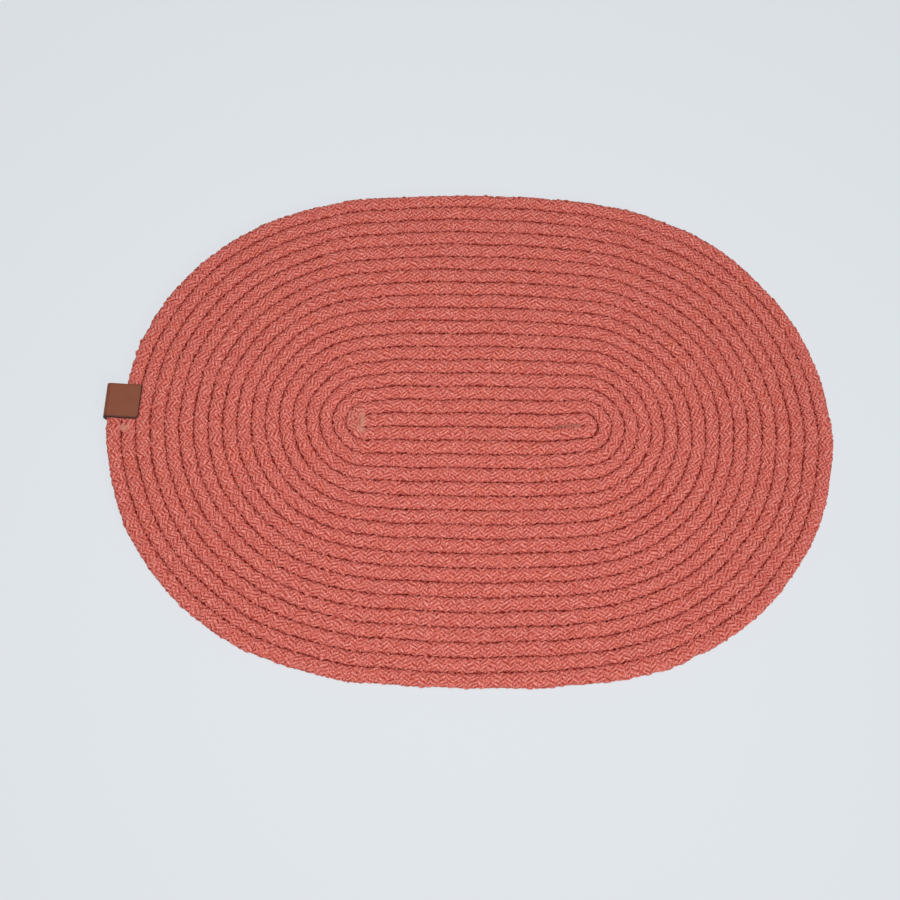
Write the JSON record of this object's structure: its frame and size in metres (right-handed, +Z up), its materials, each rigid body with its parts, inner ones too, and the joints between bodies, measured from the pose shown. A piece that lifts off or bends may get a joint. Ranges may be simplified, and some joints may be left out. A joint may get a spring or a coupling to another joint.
{
  "type": "fabric placemat",
  "caption": "Oval placemat wound from one braided cotton cord and sewn turn to turn, with a bare leather tag folded over its left edge.",
  "frame": {"origin": "below the middle of the part, tag included, on the surface that the mat lies on", "axes": "+X along the mat's long side, away from the tag; +Y across the mat, away from a person seated at it; +Z up, out of the face that things are put on"},
  "size_m": [0.4538, 0.3198, 0.008],
  "materials": {
    "braided_cotton": "matt, coral red, braided",
    "tag_leather": "smooth brown, dark cut edges"
  },
  "bodies": {
    "root": {"wound_cord_mat": "braided_cotton", "leather_tag": "tag_leather"}
  },
  "joints": []
}
